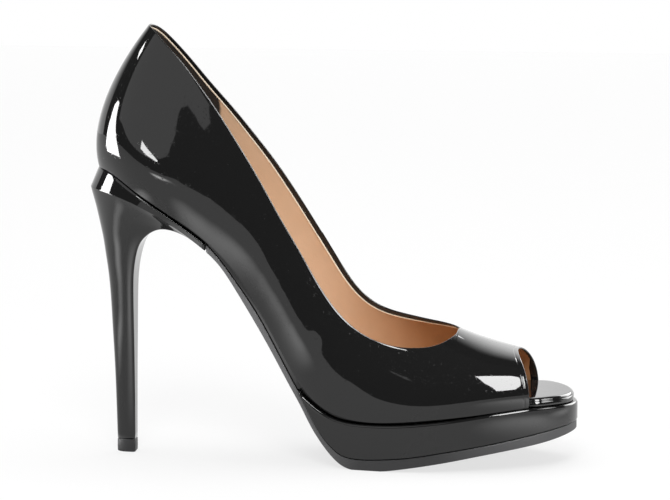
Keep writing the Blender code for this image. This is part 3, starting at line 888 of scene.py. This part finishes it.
def leather_material(name, light, dark, pore_size, pore_depth, gloss, changes=()):
    """Leather of two shades.

    changes: each gives the next two shades, where they begin to take over along the shoe,
    where they have, and how uneven that border is.
    """
    material, tree, shader = new_material(name, Specular_IOR_Level=gloss)
    grain = placed_group(tree, leather_grain, Light=(*light, 1.0), Dark=(*dark, 1.0),
                         Pore_size=pore_size, Pore_depth=pore_depth)
    for place, (key, first) in enumerate((("Light", light), ("Dark", dark))):
        before = None
        for change in changes:
            shade = placed_group(tree, shade_change, First_colour=(*first, 1.0),
                                 Second_colour=(*change[place], 1.0), From=change[2], To=change[3],
                                 Unevenness=change[4])
            if before:
                wire(tree, (before, "Color", shade, "First colour"))
            before = shade
        if before:
            wire(tree, (before, "Color", grain, key))
    wire(tree, (grain, "Color", shader, "Base Color"), (grain, "Roughness", shader, "Roughness"),
         (grain, "Normal", shader, "Normal"))
    return material


patent = patent_material("black patent leather", 48.0, 0.26, 0.3)
patent_cover = patent_material("black patent cover", 50.0, 0.1, 0.25)
# Dark at the back of the heel, then tan, then painted shade: the tan darkens toward the toe
lining = leather_material("tan lining leather", (0.03, 0.026, 0.022), (0.02, 0.017, 0.015), 1600.0,
                          0.35, 0.3,
                          (((0.74, 0.51, 0.34), (0.60, 0.39, 0.24), -0.0525, -0.0515, 0.002),
                           # painted shade: darker toward the toe, where less light reaches inside
                           ((0.46, 0.25, 0.12), (0.36, 0.18, 0.08), 0.004, 0.04, 0.004)))
sock_leather = leather_material("tan sock leather", (0.72, 0.46, 0.28), (0.62, 0.37, 0.21), 1400.0,
                                0.3, 0.35)
cut_edge = leather_material("cream cut edge", (0.95, 0.84, 0.68), (0.9, 0.76, 0.58), 2500.0,
                            0.2, 0.3)
# Painted light and shade along the sole: grey waist for the floor's light on it, nearly black from
# the ball's start for the shade near the floor, dark grey toward the toe for light from the right
sole_leather_painted_light = leather_material("dark sole leather", (0.12, 0.12, 0.122), (0.09, 0.09, 0.092),
                                1200.0, 0.25, 0.5,
                                # painted shade near the ball, then painted light toward the toe
                                (((0.018, 0.018, 0.019), (0.012, 0.012, 0.013), -0.02, 0.015, 0.0),
                                 ((0.06, 0.06, 0.062), (0.045, 0.045, 0.047), 0.05, 0.09, 0.0)))
lift_rubber = leather_material("matt top lift", (0.016, 0.016, 0.017), (0.01, 0.01, 0.011), 2500.0,
                               0.3, 0.4)

make_patent_skin(patent)
make_lining(lining)
make_lining_edge(cut_edge)
make_insole(patent_cover)
make_sock(sock_leather)
make_platform(patent_cover)
make_outsole(sole_leather_painted_light)
make_heel(patent_cover)
make_top_lift(lift_rubber)


# Studio, in metres

def stage_mesh(name, bm, material):
    mesh = bpy.data.meshes.new(name)
    bm.to_mesh(mesh)
    bm.free()
    mesh.materials.append(material)
    item = bpy.data.objects.new(name, mesh)
    bpy.context.scene.collection.objects.link(item)
    return item


def stage_plane(name, matrix, material):
    bm = bmesh.new()
    bmesh.ops.create_grid(bm, x_segments=1, y_segments=1, size=1.0)
    bmesh.ops.transform(bm, matrix=matrix, verts=bm.verts)
    return stage_mesh(name, bm, material)


def only_in_gloss(item):
    item.visible_camera = False
    item.visible_diffuse = False
    item.visible_shadow = False
    item.visible_transmission = False


def paper_material(name, brightness, glow, fade_from, fade_to):
    """Matt paper that glows, less so from one height to another."""
    material, tree, shader = new_material(
        name, Base_Color=(brightness, brightness, brightness, 1.0), Roughness=1.0,
        Specular_IOR_Level=0.0, Emission_Color=(1.0, 1.0, 1.0, 1.0))
    fade = placed_group(tree, backdrop_fade, Glow=glow, Fade_from=fade_from, Fade_to=fade_to)
    wire(tree, (fade, "Strength", shader, "Emission Strength"))
    return material


def light_material(name):
    """Material that is only a light, with its tree, its emission and its output."""
    material = bpy.data.materials.new(name)
    material.use_nodes = True
    tree = material.node_tree
    tree.nodes.clear()
    return material, tree, add_node(tree, "Emission"), add_node(tree, "OutputMaterial")


POOL_MARGIN = 1.05   # the plane reaches past its pool's edge


def floor_glow(name, height, place, half_length, half_width, turn, strength):
    """Soft pool of light just above the floor, that only shows in the gloss."""
    material, tree, light, out = light_material(name)
    pool = placed_group(tree, light_pool, Centre=(*place, 0.0), Turn=math.radians(turn),
                        Half_size=(half_length, half_width, 1.0), Glow=strength)
    both = add_node(tree, "AddShader")
    wire(tree, (pool, "Strength", light, "Strength"), (light, 0, both, 0),
         (add_node(tree, "BsdfTransparent"), 0, both, 1), (both, 0, out, "Surface"))
    size = max(half_length, half_width) * POOL_MARGIN
    matrix = Matrix.Translation((*place, height)) @ Matrix.Scale(size, 4)
    only_in_gloss(stage_plane(name, matrix, material))


def shaped_card(name, azimuth, elevation, distance, spin, strength, columns):
    """Lit card seen only in the gloss. Azimuth 0 is the camera's side, 90 the toe's.

    columns: place across the card, its lower and its upper edge there.
    """
    a, e = math.radians(azimuth), math.radians(elevation)
    way = Vector((math.sin(a) * math.cos(e), -math.cos(a) * math.cos(e), math.sin(e)))
    matrix = (Matrix.Translation(way * distance + Vector((0.0, 0.0, CARD_AIM_HEIGHT)))
              @ (-way).to_track_quat("-Z", "Y").to_matrix().to_4x4()
              @ Matrix.Rotation(math.radians(spin), 4, "Z"))
    bm = bmesh.new()
    segments = len(columns) - 1
    made = bmesh.ops.create_grid(bm, x_segments=segments, y_segments=1, size=1.0)
    for v in made["verts"]:
        across, low, high = columns[round((v.co.x + 1.0) / 2.0 * segments)]
        v.co = matrix @ Vector((across, low if v.co.y < 0 else high, 0.0))
    material, tree, light, out = light_material(name)
    light.inputs["Strength"].default_value = strength
    wire(tree, (light, 0, out, "Surface"))
    only_in_gloss(stage_mesh(name, bm, material))


def area_light(name, place, target, size, watts):
    data = bpy.data.lights.new(name, "AREA")
    data.shape = "RECTANGLE"
    data.size, data.size_y = size
    data.energy = watts
    light = bpy.data.objects.new(name, data)
    light.location = place
    light.rotation_euler = (Vector(target) - Vector(place)).to_track_quat("-Z", "Y").to_euler()
    light.visible_glossy = False
    bpy.context.scene.collection.objects.link(light)


stage_plane("floor", Matrix.Translation((0.0, 0.25, 0.0)) @ Matrix.Diagonal((3.5, 1.35, 1.0, 1.0)),
            paper_material("floor paper", 0.2, 0.72, 8.0, 9.0))
upright = Matrix.Translation((0.0, 1.6, 1.6)) @ Matrix.Rotation(math.pi / 2, 4, "X")
backdrop = stage_plane("backdrop", upright @ Matrix.Diagonal((3.5, 1.6, 1.0, 1.0)),
                       paper_material("backdrop paper", 0.0, 1.35, 0.5, 1.6))
backdrop.visible_camera = False

# Columns: name, height, place, half length, half width, turn in degrees, strength
FLOOR_GLOWS = (
    ("arch glow", 0.0005, (-0.15, -0.21), 0.19, 0.045, 72.0, 2.3),
    ("heel glow", 0.0007, (-0.26, -0.09), 0.06, 0.1, 0.0, 3.0),
    ("counter glow", 0.0009, (-0.43, -0.72), 0.14, 0.14, 0.0, 10.0),
    ("toe glow", 0.0011, (0.185, -0.1), 0.1, 0.15, 0.0, 2.1),
    ("tip glow", 0.0013, (0.25, 0.02), 0.05, 0.09, 0.0, 1.4),
)
for row in FLOOR_GLOWS:
    floor_glow(*row)

area_light("overhead softbox", (0.1, 0.4, 1.6), (0.0, 0.0, 0.0), (1.8, 1.4), 18.0)
area_light("lining light", (0.1, -1.3, 1.3), (-0.02, 0.02, 0.09), (0.6, 0.6), 16.0)

CARD_AIM_HEIGHT = 0.1
# Columns: name, azimuth, elevation, distance, spin, strength, the card's own columns
CARDS = (
    ("counter card", 0.0, 0.0, 0.5, 0.0, 1.1, (
        (-2.3, 0.5, 1.9), (-1.5, 0.32, 1.9), (-1.35, 0.28, 1.9), (-1.0, 0.16, 1.8),
        (-0.8, 0.1, 1.8), (-0.55, 0.06, 1.5), (-0.35, 0.045, 1.2), (-0.27, 0.06, 1.1),
        (-0.22, 0.09, 1.0), (-0.18, 0.13, 1.0), (-0.15, 0.17, 0.9), (-0.125, 0.21, 0.9),
        (-0.11, 0.26, 0.9), (-0.09, 0.295, 0.9), (-0.06, 0.30, 0.9), (-0.035, 0.275, 0.9),
        (-0.02, 0.25, 0.85), (0.0, 0.27, 0.8), (0.01, 0.36, 0.7))),
    ("left window", -90.0, 4.0, 0.8, 0.0, 24.0, (
        (-0.17, -0.17, -0.08), (-0.07, -0.17, 0.17), (-0.01, -0.17, 0.2), (0.06, -0.17, 0.2),
        (0.1, -0.17, 0.05), (0.14, -0.17, -0.08))),
    ("left high window", -92.0, 32.0, 1.5, 0.0, 26.0, ((-0.11, -0.03, 0.03), (0.11, -0.03, 0.03))),
    ("low left card", -38.5, 7.5, 0.47, -25.0, 22.0, (
        (-0.062, -0.022, 0.02), (-0.012, -0.018, 0.012), (0.057, -0.003, 0.005))),
    ("toe window", 42.0, 40.0, 1.6, 0.0, 22.0, (
        (-0.24, -0.66, 0.15), (-0.2, -0.67, 0.35), (-0.11, -0.69, 0.78), (0.0, -0.7, 0.79),
        (0.06, -0.71, 0.8), (0.22, -0.25, 0.8), (0.44, 0.6, 0.8))),
    ("right window", 92.0, 36.0, 1.4, 0.0, 10.0, ((-0.35, -0.25, 0.3), (0.35, -0.25, 0.3))),
    ("toe rim card", 150.0, 18.0, 1.2, 0.0, 6.0, ((-0.33, -0.2, 0.2), (0.33, -0.2, 0.2))),
)
for row in CARDS:
    shaped_card(*row)

# Air: dark in the gloss, soft light on matt faces, white behind the shoe
world = bpy.data.worlds.new("studio")
bpy.context.scene.world = world
world.use_nodes = True
tree = world.node_tree
air = tree.nodes["Background"]
air.inputs["Color"].default_value = (0.06, 0.06, 0.06, 1.0)
kind_of_ray = add_node(tree, "LightPath")
for kind, strength in (("Is Diffuse Ray", 0.75), ("Is Camera Ray", 1.0)):
    other = add_node(tree, "Background", Color=(1.0, 1.0, 1.0, 1.0), Strength=strength)
    mix = add_node(tree, "MixShader")
    wire(tree, (kind_of_ray, kind, mix, "Fac"), (air, 0, mix, 1), (other, 0, mix, 2))
    air = mix
wire(tree, (air, 0, tree.nodes["World Output"], "Surface"))

# Camera of the photograph: azimuth, elevation, metres to the aim, pixels for one millimetre there
TURN, RISE, DISTANCE, PIXELS = math.radians(6.5), math.radians(8.45), 2.4, 2.285
PICTURE_WIDTH, SENSOR_WIDTH = 670.0, 36.0
AIM = np.array((92.39, 0.0, 91.01))
look = Vector((-math.sin(TURN) * math.cos(RISE), math.cos(TURN) * math.cos(RISE), -math.sin(RISE)))
camera_data = bpy.data.cameras.new("camera")
camera_data.sensor_width = SENSOR_WIDTH
camera_data.lens = SENSOR_WIDTH * PIXELS * DISTANCE / MM / PICTURE_WIDTH
camera_data.clip_end = 20.0
camera = bpy.data.objects.new("camera", camera_data)
camera.location = Vector((AIM - SHIFT) * MM) - look * DISTANCE
camera.rotation_euler = look.to_track_quat("-Z", "Y").to_euler()
bpy.context.scene.collection.objects.link(camera)
bpy.context.scene.camera = camera
bpy.context.scene.view_settings.view_transform = "Standard"
